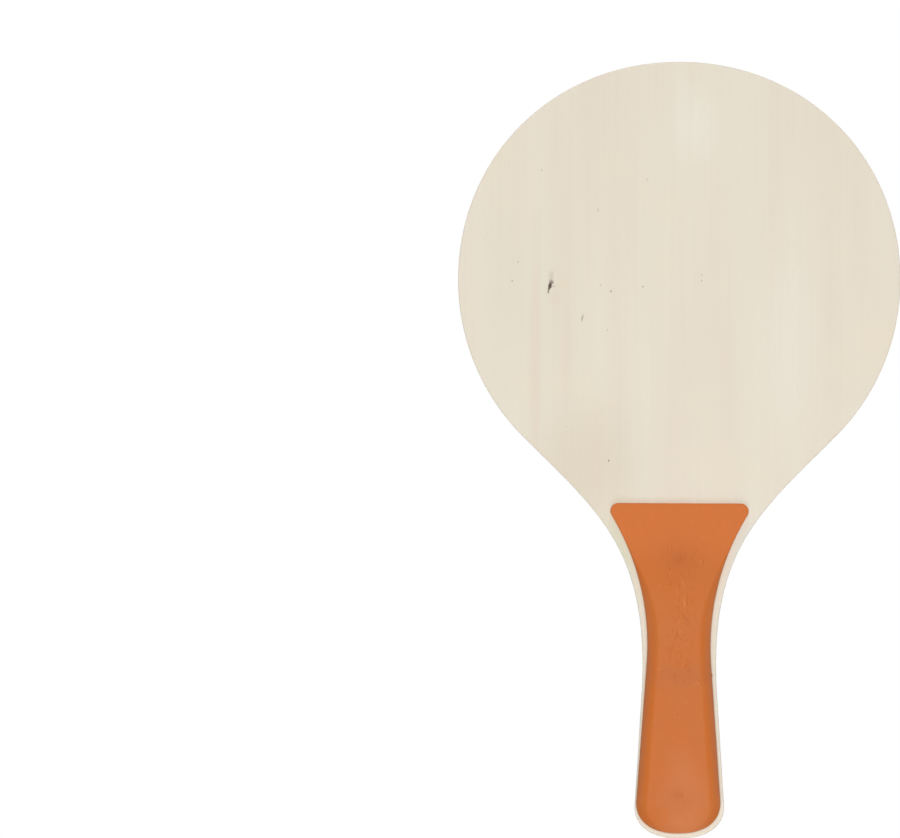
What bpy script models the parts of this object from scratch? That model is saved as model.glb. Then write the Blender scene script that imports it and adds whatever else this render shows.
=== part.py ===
"""Wooden beach bat: a five-ply blade with a grip scale glued and pinned to each side of its handle.

All sizes are in metres. X runs across the bat, the front faces -Y and +Z points up towards the head.
The origin is in the middle of the blade's thickness, at the waist of the grip, where a hand closes on it.
"""

import math

import bmesh
import bpy

# Blade outline. Heights are measured up from the butt end.
OVERALL_LENGTH = 0.330
HEAD_WIDTH = 0.188
HEAD_HEIGHT = 0.2372
CROWN_FULLNESS = 2.05
SHOULDER_ANGLE = math.radians(45.0)
NECK_UPPER_PULL = 0.0425
NECK_LOWER_PULL = 0.0515
WAIST_WIDTH = 0.0312
WAIST_HEIGHT = 0.0735
HANDLE_SWEEP = 0.171
HANDLE_FLARE = math.radians(3.6)
BUTT_DEPTH = 0.0138
BUTT_FULLNESS = 2.3

# Plies of the blade, and the glue between them
FACE_VENEER = 0.0007
CROSSBAND = 0.0011
CORE_VENEER = 0.0010
GLUE_LINE = 0.0001
FILM_CLEARANCE = 0.00001
EDGE_EASE = 0.0005

# Grip scale outline
SCALE_TOP = 0.1424
SCALE_CORNER = 0.0034
SCALE_WAIST_WIDTH = 0.0269
SCALE_WAIST_HEIGHT = 0.0818
SCALE_SWEEP = 0.107
SCALE_FLARE = math.radians(4.1)
SCALE_BUTT_MARGIN = 0.0020
SCALE_BUTT_DEPTH = 0.0134

# Grip scale section: a ramp from a thin top edge up to a flat land, and a domed heel
SCALE_THICKNESS = 0.0090
SCALE_FEATHER = 0.0016
RAMP_RUN = 0.028
RAMP_BLEND = 0.024
SCALE_ROUND = 0.0048
LAND_SANDING = 0.00005
HEEL_LENGTH = 0.014
HEEL_WALL = 0.0030
HEEL_FULLNESS = 2.0
HEEL_OVERRUN = 0.0003
FRONT_SCALE_SKEW = math.radians(0.24)

# Brads, and the putty over their sunk heads
BRAD_LENGTH = 0.0120
BRAD_SHANK = 0.0012
BRAD_HEAD = 0.0020
BRAD_HEAD_THICKNESS = 0.0005
BRAD_POINT = 0.0018
BRAD_SET = 0.0009
PUTTY_WIDTH = 0.0044
BORE_CLEARANCE = 0.00005
UPPER_BRAD_HEIGHT = 0.1196
LOWER_BRAD_HEIGHT = 0.0188
BRAD_STAGGER = 0.006

# Fineness of the curved outlines and of the turned pieces
HEAD_STEP = math.radians(4.5)
CORNER_STEP = math.radians(15.0)
SWEEP_STEP = math.radians(3.0)
NECK_POINTS = 12
ROUND_SEGMENTS = 5
EASE_SEGMENTS = 2
TURNED_STEPS = 16
SHARP_ANGLE = math.radians(30.0)
OVERCUT = 0.001

# Points nearer than this are one point, and a face that leans more than this is no longer a flat side
WELD = 0.000001
FLAT_NORMAL = 0.5


def arc(centre, radius, start, end, step):
    """Points of an arc about centre, from the start angle to the end angle, both ends included."""
    count = max(1, round(abs(end - start) / step))
    angles = [start + (end - start) * i / count for i in range(count + 1)]
    return [(centre[0] + radius * math.cos(a), centre[1] + radius * math.sin(a)) for a in angles]


def rounded_end(half_width, depth, fullness, step):
    """Points of a quarter of a superellipse, from its tip on the centre line out to its full half width."""
    count = round(math.pi / 2 / step)
    power = 2 / fullness
    points = [(0.0, depth)]
    for i in range(1, count):
        angle = math.pi / 2 * (1 - i / count)
        points.append((half_width * math.cos(angle) ** power, depth * math.sin(angle) ** power))
    return points + [(half_width, 0.0)]


def cubic(a, b, c, d, count):
    """Points of a cubic Bezier curve with the control points a, b, c and d."""
    points = []
    for i in range(count + 1):
        t = i / count
        weights = ((1 - t) ** 3, 3 * (1 - t) ** 2 * t, 3 * (1 - t) * t ** 2, t ** 3)
        points.append(tuple(sum(w * p[axis] for w, p in zip(weights, (a, b, c, d))) for axis in (0, 1)))
    return points


def handle_side(waist_half, waist_height, sweep, flare, end_height):
    """Half outline of a handle from its waist down to where its rounded end begins."""
    points = arc((waist_half + sweep, waist_height), sweep, math.pi, math.pi + flare, SWEEP_STEP)
    x, height = points[-1]
    return points + [(x + (height - end_height) * math.tan(flare), end_height)]


def blade_side():
    """Right-hand half of the blade's outline, from the crown down to the butt end."""
    radius = HEAD_WIDTH / 2
    crown = rounded_end(radius, OVERALL_LENGTH - HEAD_HEIGHT, CROWN_FULLNESS, HEAD_STEP)
    crown = [(x, HEAD_HEIGHT + rise) for x, rise in crown]
    lower_head = arc((0, HEAD_HEIGHT), radius, 0, -SHOULDER_ANGLE, HEAD_STEP)
    shoulder = lower_head[-1]
    upper_pull = (
        shoulder[0] - NECK_UPPER_PULL * math.sin(SHOULDER_ANGLE),
        shoulder[1] - NECK_UPPER_PULL * math.cos(SHOULDER_ANGLE),
    )
    waist = (WAIST_WIDTH / 2, WAIST_HEIGHT)
    lower_pull = (waist[0], waist[1] + NECK_LOWER_PULL)
    neck = cubic(shoulder, upper_pull, lower_pull, waist, NECK_POINTS)
    handle = handle_side(waist[0], WAIST_HEIGHT, HANDLE_SWEEP, HANDLE_FLARE, BUTT_DEPTH)
    butt = rounded_end(handle[-1][0], BUTT_DEPTH, BUTT_FULLNESS, CORNER_STEP / 2)
    butt = [(x, BUTT_DEPTH - drop) for x, drop in reversed(butt)]
    return crown + lower_head[1:] + neck[1:] + handle[1:] + butt[1:]


def scale_side():
    """Right-hand half of a grip scale's outline, from its square top edge down to its rounded end."""
    waist_half = SCALE_WAIST_WIDTH / 2
    sweep_centre = (waist_half + SCALE_SWEEP, SCALE_WAIST_HEIGHT)
    corner_height = SCALE_TOP - SCALE_CORNER
    rise = corner_height - SCALE_WAIST_HEIGHT
    corner_x = sweep_centre[0] - math.sqrt((SCALE_SWEEP + SCALE_CORNER) ** 2 - rise ** 2)
    top_angle = math.asin(rise / (SCALE_SWEEP + SCALE_CORNER))
    corner = arc((corner_x, corner_height), SCALE_CORNER, math.pi / 2, -top_angle, CORNER_STEP)
    side = arc(sweep_centre, SCALE_SWEEP, math.pi - top_angle, math.pi, SWEEP_STEP)
    end_height = SCALE_BUTT_MARGIN + SCALE_BUTT_DEPTH
    handle = handle_side(waist_half, SCALE_WAIST_HEIGHT, SCALE_SWEEP, SCALE_FLARE, end_height)
    heel = rounded_end(handle[-1][0], SCALE_BUTT_DEPTH, BUTT_FULLNESS, CORNER_STEP / 2)
    heel = [(x, end_height - drop) for x, drop in reversed(heel)]
    return corner + side[1:] + handle[1:] + heel[1:]


def ramp_slope():
    """Rise of the ramp for each metre down from the scale's top edge."""
    return (SCALE_THICKNESS - SCALE_FEATHER) / (RAMP_RUN + RAMP_BLEND / 2)


def scale_height(drop):
    """Thickness of a scale on its centre line, at this distance below its top edge."""
    straight = min(drop, RAMP_RUN)
    past_run = min(max(drop - RAMP_RUN, 0), RAMP_BLEND)
    blended = past_run - past_run ** 2 / (2 * RAMP_BLEND)
    return SCALE_FEATHER + ramp_slope() * (straight + blended)


def scale_side_view():
    """Outline of a grip scale seen from the side, as (height, distance from its glued face)."""
    ramp_end = RAMP_RUN + RAMP_BLEND
    drops = [-OVERCUT, RAMP_RUN]
    drops += [RAMP_RUN + RAMP_BLEND * i / ROUND_SEGMENTS for i in range(1, ROUND_SEGMENTS)]
    points = [(SCALE_TOP + OVERCUT, -OVERCUT)]
    points += [(SCALE_TOP - drop, scale_height(drop)) for drop in drops]
    points.append((SCALE_TOP - ramp_end, SCALE_THICKNESS))
    heel_end = SCALE_BUTT_MARGIN - HEEL_OVERRUN
    dome = rounded_end(HEEL_LENGTH, SCALE_THICKNESS - HEEL_WALL, HEEL_FULLNESS, CORNER_STEP)
    points += [(heel_end + HEEL_LENGTH - along, HEEL_WALL + rise) for along, rise in dome]
    return points + [(heel_end, -OVERCUT)]


def brad_profile(clearance):
    """Half section of a brad from its head's top, at 0, down to its point, swollen by the clearance."""
    head = BRAD_HEAD / 2 + clearance
    shank = BRAD_SHANK / 2 + clearance
    under_head = -BRAD_HEAD_THICKNESS - clearance
    return [
        (head, under_head),
        (shank, under_head),
        (shank, BRAD_POINT - BRAD_LENGTH),
        (0.0, -BRAD_LENGTH - clearance),
    ]


def putty_profile(clearance, top):
    """Half section of the cone of putty over a brad, from its axis out and down to its lower rim."""
    spread = (PUTTY_WIDTH - BRAD_HEAD) / 2 / BRAD_SET
    rim = BRAD_HEAD / 2 + clearance
    return [(0.0, top), (rim + spread * top, top), (rim, 0.0)]


def finish(name, red, green, blue, roughness, metallic=0.0):
    """A plain surface of this display colour, given as 0 to 255."""
    material = bpy.data.materials.new(name)
    material.use_nodes = True
    surface = material.node_tree.nodes["Principled BSDF"]
    linear = [((value / 255 + 0.055) / 1.055) ** 2.4 for value in (red, green, blue)]
    surface.inputs["Base Color"].default_value = (*linear, 1.0)
    surface.inputs["Roughness"].default_value = roughness
    surface.inputs["Metallic"].default_value = metallic
    material.diffuse_color = (*linear, 1.0)
    return material


def empty(name, rotation, parent=None):
    """An axis cross that carries other pieces."""
    cross = bpy.data.objects.new(name, None)
    cross.rotation_euler = rotation
    cross.parent = parent
    cross.empty_display_size = WAIST_WIDTH
    bat.objects.link(cross)
    return cross


def flat_piece(name, outline, thickness, collection):
    """A sheet cut to a closed outline in its own XY plane, centred on that plane, with plain flat faces."""
    curve = bpy.data.curves.new(name + "_outline", "CURVE")
    curve.dimensions = "2D"
    curve.fill_mode = "BOTH"
    curve.extrude = thickness / 2
    spline = curve.splines.new("POLY")
    spline.points.add(len(outline) - 1)
    for point, (x, y) in zip(spline.points, outline):
        point.co = (x, y, 0.0, 1.0)
    spline.use_cyclic_u = True
    drawn = bpy.data.objects.new(name + "_drawn", curve)
    collection.objects.link(drawn)
    graph = bpy.context.evaluated_depsgraph_get()
    mesh = bpy.data.meshes.new_from_object(drawn.evaluated_get(graph))
    piece = bpy.data.objects.new(name, mesh)
    piece.matrix_world = drawn.matrix_world
    collection.objects.link(piece)
    bpy.data.objects.remove(drawn)

    shape = bmesh.new()
    shape.from_mesh(mesh)
    bmesh.ops.remove_doubles(shape, verts=shape.verts, dist=WELD)
    bmesh.ops.recalc_face_normals(shape, faces=shape.faces)
    for side in (1, -1):
        cap = [face for face in shape.faces if face.normal.z * side > FLAT_NORMAL]
        bmesh.ops.dissolve_faces(shape, faces=cap)
    shape.to_mesh(mesh)
    shape.free()
    return piece


def mirrored(side):
    """The whole outline from its right-hand half, with a point on the centre line used once."""
    left = [(-x, y) for x, y in reversed(side) if x > 0]
    return [(x, y - WAIST_HEIGHT) for x, y in side + left]


def round_outer_rim(piece, width, segments, highest=math.inf):
    """Rounds the edge of a sheet's outer face, below the highest point given along its own Y."""
    shape = bmesh.new()
    shape.from_mesh(piece.data)
    shape.normal_update()
    rim = [
        edge
        for edge in shape.edges
        if max(face.normal.z for face in edge.link_faces) > FLAT_NORMAL
        and min(face.normal.z for face in edge.link_faces) < FLAT_NORMAL
        and max(vert.co.y for vert in edge.verts) < highest
    ]
    bmesh.ops.bevel(shape, geom=rim, offset=width, segments=segments, profile=0.5, affect="EDGES")
    shape.to_mesh(piece.data)
    shape.free()


def split_at_shoulder(piece):
    """Divides the flat faces across the head's shoulders, so that the striking face ends above the grip."""
    shape = bmesh.new()
    shape.from_mesh(piece.data)
    shoulder = HEAD_HEIGHT - HEAD_WIDTH / 2 * math.sin(SHOULDER_ANGLE) - WAIST_HEIGHT
    bmesh.ops.bisect_plane(
        shape,
        geom=[*shape.verts, *shape.edges, *shape.faces],
        plane_co=(0, shoulder, 0),
        plane_no=(0, 1, 0),
        dist=WELD,
    )
    shape.to_mesh(piece.data)
    shape.free()


def turned_piece(name, profile, collection):
    """A round piece turned about its own Z axis from a half section that runs down its outer side."""
    mesh = bpy.data.meshes.new(name)
    edges = [(i, i + 1) for i in range(len(profile) - 1)]
    mesh.from_pydata([(radius, 0.0, height) for radius, height in profile], edges, [])
    piece = bpy.data.objects.new(name, mesh)
    collection.objects.link(piece)
    turn = piece.modifiers.new("Turn", "SCREW")
    turn.axis = "Z"
    turn.steps = TURNED_STEPS
    turn.render_steps = TURNED_STEPS
    turn.use_merge_vertices = True
    turn.merge_threshold = WELD
    return piece


def boolean(piece, operation, cutter=None, collection=None):
    """Cuts a piece by one object or by every object of a collection."""
    cut = piece.modifiers.new(operation.title(), "BOOLEAN")
    cut.solver = "EXACT"
    cut.operation = operation
    if collection:
        cut.operand_type = "COLLECTION"
        cut.collection = collection
    else:
        cut.object = cutter


def hide(cutter):
    """Keeps a cutter out of the finished bat."""
    cutter.hide_render = True
    cutter.display_type = "WIRE"


def seat(piece, parent, depth, material=None, height=0.0):
    """Puts a piece on one face of the bat, at this distance out from the middle of the blade."""
    piece.parent = parent
    piece.location = (0.0, height, depth)
    if material:
        piece.data.materials.append(material)


for leftover in list(bpy.data.objects):
    bpy.data.objects.remove(leftover)

bat = bpy.data.collections.new("beach_bat")
cutters = bpy.data.collections.new("cutters")
bores = bpy.data.collections.new("brad_bores")
bpy.context.scene.collection.children.link(bat)
bpy.context.scene.collection.children.link(cutters)
cutters.children.link(bores)

poplar_face = finish("poplar_face", 229, 221, 205, 0.62)
poplar_crossband = finish("poplar_crossband", 214, 196, 165, 0.75)
poplar_core = finish("poplar_core", 223, 208, 180, 0.72)
ply_glue = finish("ply_glue", 150, 110, 72, 0.45)
grip_glue = finish("grip_glue", 226, 205, 160, 0.35)
orange_paint = finish("orange_paint", 207, 120, 66, 0.5)
putty = finish("putty", 196, 110, 62, 0.7)
brad_wire = finish("brad_wire", 150, 152, 155, 0.35, 1.0)

hand = empty("bat_origin", (0, 0, 0))
faces = {
    "front": empty("front_side", (math.pi / 2, 0, 0), hand),
    "back": empty("back_side", (math.pi / 2, 0, math.pi), hand),
}
skews = {"front": FRONT_SCALE_SKEW, "back": 0.0}

# Depths out from the middle of the blade, on either side
core_surface = CORE_VENEER / 2
crossband_surface = core_surface + GLUE_LINE + CROSSBAND
blade_surface = crossband_surface + GLUE_LINE + FACE_VENEER
scale_seat = blade_surface + GLUE_LINE

blade_outline = mirrored(blade_side())
scale_outline = mirrored(scale_side())
side_view = [(height - WAIST_HEIGHT, out) for height, out in scale_side_view()]


def ply(name, thickness, depth, parent, material):
    """One sheet of the blade, with its middle at this depth and a bore for each brad that reaches it."""
    sheet = flat_piece(name, blade_outline, thickness, bat)
    seat(sheet, parent, depth, material)
    boolean(sheet, "DIFFERENCE", collection=bores)
    return sheet


def scale_sheet(name, thickness, depth, side, material, collection):
    """A sheet with the grip scale's outline, turned by the skew about the upper brad."""
    pivot = UPPER_BRAD_HEIGHT - WAIST_HEIGHT
    outline = [(x, y - pivot) for x, y in scale_outline]
    sheet = flat_piece(name, outline, thickness, collection)
    seat(sheet, faces[side], depth, material, pivot)
    sheet.rotation_euler = (0, 0, -skews[side])
    return sheet


# The core, then on each side its glue line, crossband, glue line and face veneer
ply("core_veneer", CORE_VENEER, 0.0, faces["front"], poplar_core)
film = GLUE_LINE - 2 * FILM_CLEARANCE
for side, face in faces.items():
    ply(f"glue_line_core_{side}", film, core_surface + GLUE_LINE / 2, face, ply_glue)
    ply(f"crossband_{side}", CROSSBAND, crossband_surface - CROSSBAND / 2, face, poplar_crossband)
    ply(f"glue_line_face_{side}", film, crossband_surface + GLUE_LINE / 2, face, ply_glue)
    veneer = ply(f"face_veneer_{side}", FACE_VENEER, blade_surface - FACE_VENEER / 2, face, poplar_face)
    round_outer_rim(veneer, EDGE_EASE, EASE_SEGMENTS)
    split_at_shoulder(veneer)

# Each grip scale on its film of glue: a slab with a routed rim, then sawn to its side view
for side, face in faces.items():
    glue = scale_sheet(f"grip_glue_{side}", film, blade_surface + GLUE_LINE / 2, side, grip_glue, bat)
    boolean(glue, "DIFFERENCE", collection=bores)

    slab = SCALE_THICKNESS + LAND_SANDING
    scale = scale_sheet(f"grip_scale_{side}", slab, scale_seat + slab / 2, side, orange_paint, bat)
    rounding_starts = (SCALE_THICKNESS - SCALE_ROUND - SCALE_FEATHER) / ramp_slope()
    routed_from = SCALE_TOP - max(SCALE_CORNER, rounding_starts - OVERCUT) - UPPER_BRAD_HEIGHT
    round_outer_rim(scale, SCALE_ROUND, ROUND_SEGMENTS, routed_from)

    sawing = flat_piece(f"side_view_{side}", side_view, HEAD_WIDTH, cutters)
    seat(sawing, face, scale_seat)
    sawing.rotation_euler = (math.pi / 2, 0, math.pi / 2)
    hide(sawing)
    boolean(scale, "INTERSECT", sawing)
    boolean(scale, "DIFFERENCE", collection=bores)

    # Two brads through the scale, set below its face and covered with putty
    stagger = BRAD_STAGGER if side == "back" else 0.0
    rows = {"upper": UPPER_BRAD_HEIGHT - stagger, "lower": LOWER_BRAD_HEIGHT + stagger}
    for row, height in rows.items():
        head_top = scale_seat + scale_height(SCALE_TOP - height) - BRAD_SET
        lift = height - WAIST_HEIGHT
        head = [(0.0, 0.0), (BRAD_HEAD / 2, 0.0)]
        brad = turned_piece(f"brad_{side}_{row}", head + brad_profile(0.0), bat)
        seat(brad, face, head_top, brad_wire, lift)

        plug = putty_profile(0.0, BRAD_SET + OVERCUT) + [(0.0, 0.0)]
        filler = turned_piece(f"putty_{side}_{row}", plug, bat)
        seat(filler, face, head_top + BORE_CLEARANCE, putty, lift)
        boolean(filler, "INTERSECT", sawing)

        opening = putty_profile(BORE_CLEARANCE, BRAD_SET + 2 * OVERCUT)
        bore = turned_piece(f"bore_{side}_{row}", opening + brad_profile(BORE_CLEARANCE), bores)
        seat(bore, face, head_top, None, lift)
        hide(bore)

for piece in bat.objects:
    if piece.type == "MESH":
        piece.data.shade_smooth()
        piece.data.set_sharp_from_angle(angle=SHARP_ANGLE)
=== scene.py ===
"""Wooden beach bat: a blade of five poplar plies, with a painted grip scale on each side of its handle.

Metres. X runs across the bat, the front faces -Y and +Z points up to the head. The origin is on the
centre line, at the grip's waist.
"""

import math

import bmesh
import bpy
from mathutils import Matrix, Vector


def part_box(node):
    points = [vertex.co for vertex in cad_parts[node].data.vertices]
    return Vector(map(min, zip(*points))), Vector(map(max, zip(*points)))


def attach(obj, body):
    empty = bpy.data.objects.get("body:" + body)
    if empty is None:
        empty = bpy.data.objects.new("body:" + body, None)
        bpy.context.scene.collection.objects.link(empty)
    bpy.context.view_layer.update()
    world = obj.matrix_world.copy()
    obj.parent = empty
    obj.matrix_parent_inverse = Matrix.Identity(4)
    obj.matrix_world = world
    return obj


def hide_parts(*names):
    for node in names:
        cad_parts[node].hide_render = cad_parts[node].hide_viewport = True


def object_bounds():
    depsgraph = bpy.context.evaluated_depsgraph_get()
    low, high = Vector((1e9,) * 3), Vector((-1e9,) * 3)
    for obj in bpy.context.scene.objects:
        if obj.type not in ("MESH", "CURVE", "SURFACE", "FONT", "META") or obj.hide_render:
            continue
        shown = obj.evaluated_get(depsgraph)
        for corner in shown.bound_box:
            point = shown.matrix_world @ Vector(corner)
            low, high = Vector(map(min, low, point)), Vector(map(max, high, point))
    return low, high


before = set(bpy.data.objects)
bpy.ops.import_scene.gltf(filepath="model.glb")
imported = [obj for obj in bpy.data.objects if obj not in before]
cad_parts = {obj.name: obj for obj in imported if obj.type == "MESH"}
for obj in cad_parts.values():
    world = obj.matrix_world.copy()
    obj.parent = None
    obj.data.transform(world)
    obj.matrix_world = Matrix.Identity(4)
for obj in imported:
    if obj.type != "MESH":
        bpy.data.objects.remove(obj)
cad_low, cad_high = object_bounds()

# The core is the middle one of the five plies: a sheet of poplar peeled from the log, with its
# grain up the bat. The plies are pressed into one board and sawn to one outline together.
# Heights in the sizes below are measured up from the butt end.
MM = 0.001
BUTT_END = cad_low.z
HEAD_RADIUS = cad_high.x
BAT_LENGTH = cad_high.z - cad_low.z
HEAD_HEIGHT = 237.2 * MM
CROWN_FULLNESS = 2.05
SHOULDER_ANGLE = math.radians(45)
NECK_UPPER_PULL = 42.5 * MM
NECK_LOWER_PULL = 51.5 * MM
WAIST_HALF = 15.6 * MM
WAIST_HEIGHT = 73.5 * MM
HANDLE_SWEEP = 171 * MM
HANDLE_FLARE = math.radians(3.6)
BUTT_DEPTH = 13.8 * MM
BUTT_FULLNESS = 2.3
FINE_STEP = math.radians(1.5)
COARSE_STEP = 2 * FINE_STEP
SWEEP_STEP = math.radians(0.6)
NECK_POINTS = 40
TOUCH = 0.002 * MM


def arc(centre, radius, start, end, step):
    """Points of an arc about a centre, both ends included."""
    count = max(1, round(abs(end - start) / step))
    turns = [start + (end - start) * i / count for i in range(count + 1)]
    x, height = centre
    return [(x + radius * math.cos(turn), height + radius * math.sin(turn)) for turn in turns]


def rounded_end(half_width, depth, fullness, step):
    """Points of a quarter of a superellipse, from its tip on the centre line to its full half width."""
    count = round(math.pi / 2 / step)
    turns = [math.pi / 2 * (1 - i / count) for i in range(1, count)]
    power = 2 / fullness
    bend = [(half_width * math.cos(turn) ** power, depth * math.sin(turn) ** power) for turn in turns]
    return [(0.0, depth)] + bend + [(half_width, 0.0)]


def neck_curve(shoulder, waist):
    """Points of the neck, which leaves the head at its shoulder and comes down upright at the waist."""
    lean = (math.sin(SHOULDER_ANGLE), math.cos(SHOULDER_ANGLE))
    upper = (shoulder[0] - NECK_UPPER_PULL * lean[0], shoulder[1] - NECK_UPPER_PULL * lean[1])
    lower = (waist[0], waist[1] + NECK_LOWER_PULL)
    corners = (shoulder, upper, lower, waist)
    points = []
    for i in range(1, NECK_POINTS + 1):
        t = i / NECK_POINTS
        weights = ((1 - t) ** 3, 3 * (1 - t) ** 2 * t, 3 * (1 - t) * t ** 2, t ** 3)
        x, height = (sum(w * c for w, c in zip(weights, places)) for places in zip(*corners))
        points.append((x, height))
    return points


def handle_side(waist, sweep, flare, end_height):
    """Points of a handle's edge, from its waist down to where its rounded end begins."""
    points = arc((waist[0] + sweep, waist[1]), sweep, math.pi, math.pi + flare, SWEEP_STEP)
    x, height = points[-1]
    return points[1:] + [(x + (height - end_height) * math.tan(flare), end_height)]


def blade_outline():
    """Right-hand half of the blade's outline, from the crown down to the butt end."""
    crown = rounded_end(HEAD_RADIUS, BAT_LENGTH - HEAD_HEIGHT, CROWN_FULLNESS, FINE_STEP)
    points = [(x, HEAD_HEIGHT + up) for x, up in crown]
    points += arc((0, HEAD_HEIGHT), HEAD_RADIUS, 0, -SHOULDER_ANGLE, FINE_STEP)[1:]
    waist = (WAIST_HALF, WAIST_HEIGHT)
    points += neck_curve(points[-1], waist)
    points += handle_side(waist, HANDLE_SWEEP, HANDLE_FLARE, BUTT_DEPTH)
    butt = rounded_end(points[-1][0], BUTT_DEPTH, BUTT_FULLNESS, COARSE_STEP)
    return points + [(x, BUTT_DEPTH - drop) for x, drop in reversed(butt)][1:]


def deselect():
    """Leaves nothing selected, in object mode."""
    if bpy.context.mode != "OBJECT":
        bpy.ops.object.mode_set(mode="OBJECT")
    bpy.ops.object.select_all(action="DESELECT")


def pick(piece):
    """Leaves one piece selected and active, in object mode."""
    deselect()
    piece.select_set(True)
    bpy.context.view_layer.objects.active = piece


def edit(piece, action="SELECT"):
    """Opens one piece in edit mode, with all of it selected, or none."""
    pick(piece)
    bpy.ops.object.mode_set(mode="EDIT")
    bpy.ops.mesh.select_all(action=action)


def end_edit():
    """Goes back to object mode."""
    bpy.ops.object.mode_set(mode="OBJECT")


def apply_modifier(piece, kind, **settings):
    """Gives a piece one modifier with these settings and applies it."""
    pick(piece)
    modifier = piece.modifiers.new(kind.title(), kind)
    for setting, value in settings.items():
        setattr(modifier, setting, value)
    bpy.ops.object.modifier_apply(modifier=modifier.name)


def draw_line(name, start, steps):
    """A line drawn with one point, from its start and through these steps, left open in edit mode."""
    deselect()
    bpy.ops.mesh.primitive_plane_add(size=MM, location=(0, 0, 0))
    line = bpy.context.object
    line.name = name
    edit(line)
    bpy.ops.mesh.merge(type="CENTER")
    bpy.ops.transform.translate(value=start)
    for step in steps:
        bpy.ops.mesh.extrude_region_move(TRANSFORM_OT_translate={"value": step})
    return line


def cut_out(name, outline):
    """A flat blank: half its outline is drawn, mirrored over the centre line and filled."""
    first_x, first_height = outline[0]
    corners = zip(outline, outline[1:])
    steps = [(next_x - x, 0, next_height - height) for (x, height), (next_x, next_height) in corners]
    blank = draw_line(name, (first_x, 0, BUTT_END + first_height), steps)
    end_edit()
    apply_modifier(blank, "MIRROR", merge_threshold=TOUCH, use_clip=True)
    edit(blank)
    bpy.ops.mesh.remove_doubles(threshold=TOUCH)
    bpy.ops.mesh.edge_face_add()
    end_edit()
    return blank


def copy_of(piece, name):
    """A copy of a piece with a mesh of its own."""
    copy = piece.copy()
    copy.data = piece.data.copy()
    copy.name = name
    bpy.context.collection.objects.link(copy)
    return copy


def thicken(piece, near, far):
    """Extrudes a flat blank into a sheet that lies between two depths along Y."""
    edit(piece)
    bpy.ops.transform.translate(value=(0, near, 0))
    bpy.ops.mesh.extrude_region_move(TRANSFORM_OT_translate={"value": (0, far - near, 0)})
    bpy.ops.mesh.select_all(action="SELECT")
    bpy.ops.mesh.normals_make_consistent(inside=False)
    end_edit()


BRADS = [(side, row) for side in ("front", "back") for row in ("upper", "lower")]
BORE_CLEARANCE = 0.05 * MM
SHANK_RADIUS = 0.6 * MM
BORE_SIDES = 24


def round_bar(radius, length, middle, sides):
    """A round bar that lies along Y, to cut with."""
    deselect()
    bpy.ops.mesh.primitive_cylinder_add(
        vertices=sides,
        radius=radius,
        depth=length,
        location=middle,
        rotation=(math.pi / 2, 0, 0),
    )
    return bpy.context.object


def drill_for(side, row):
    """A bar along a brad, a clearance wider than its shank and longer than it at both ends."""
    low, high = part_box(f"brad_{side}_{row}")
    length = high.y - low.y + 2 * BORE_CLEARANCE
    return round_bar(SHANK_RADIUS + BORE_CLEARANCE, length, (low + high) / 2, BORE_SIDES)


def cut_by(piece, operation, cutter, **settings):
    """Cuts a piece by a cutter, and clears the cutter away."""
    apply_modifier(piece, "BOOLEAN", operation=operation, object=cutter, **settings)
    bpy.data.objects.remove(cutter)


def bore_for_brads(piece):
    """Drills a sheet for each brad that reaches it."""
    depths = [vertex.co.y for vertex in piece.data.vertices]
    for side, row in BRADS:
        low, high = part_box(f"brad_{side}_{row}")
        if low.y - BORE_CLEARANCE < max(depths) and high.y + BORE_CLEARANCE > min(depths):
            cut_by(piece, "DIFFERENCE", drill_for(side, row))


class Socket:
    """One output of a shader node. Sums and products of sockets add the nodes that work them out."""

    def __init__(self, tree, output):
        self.tree = tree
        self.output = output

    def node(self, kind, settings=None, values=None, output=0):
        """Adds a node, its settings first and then its sockets' values or links. Gives one output."""
        made = self.tree.nodes.new(kind)
        for name, setting in (settings or {}).items():
            setattr(made, name, setting)
        for name, value in (values or {}).items():
            if isinstance(value, Socket):
                self.tree.links.new(value.output, made.inputs[name])
            else:
                made.inputs[name].default_value = value
        return Socket(self.tree, made.outputs[output])

    def math(self, operation, *values):
        return self.node("ShaderNodeMath", {"operation": operation}, dict(enumerate(values)))

    def __add__(self, other):
        return self.math("ADD", self, other)

    def __radd__(self, other):
        return self.math("ADD", other, self)

    def __sub__(self, other):
        return self.math("SUBTRACT", self, other)

    def __rsub__(self, other):
        return self.math("SUBTRACT", other, self)

    def __mul__(self, other):
        return self.math("MULTIPLY", self, other)

    def __rmul__(self, other):
        return self.math("MULTIPLY", other, self)

    def __abs__(self):
        return self.math("ABSOLUTE", self)


def vector(place, operation, other):
    """Vector maths on a place: ADD, SUBTRACT or MULTIPLY, with a triple or another vector."""
    return place.node("ShaderNodeVectorMath", {"operation": operation}, {0: place, 1: other})


def coordinate(place, axis):
    """One coordinate of a place, or one part of a direction."""
    return place.node("ShaderNodeSeparateXYZ", None, {0: place}, axis)


def rise(value, start, end):
    """A soft step from 0 at the start to 1 at the end."""
    limits = {"Value": value, "From Min": start, "From Max": end}
    return value.node("ShaderNodeMapRange", {"interpolation_type": "SMOOTHSTEP"}, limits)


def noise(place, frequency, seed, detail=3.0):
    """Cloudy noise about 0.5, with this many blotches to a millimetre along X, Y and Z."""
    stretched = vector(vector(place, "MULTIPLY", frequency), "ADD", (seed, 3.7 * seed, 7.3 * seed))
    return place.node("ShaderNodeTexNoise", None, {"Vector": stretched, "Scale": 1.0, "Detail": detail})


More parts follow.
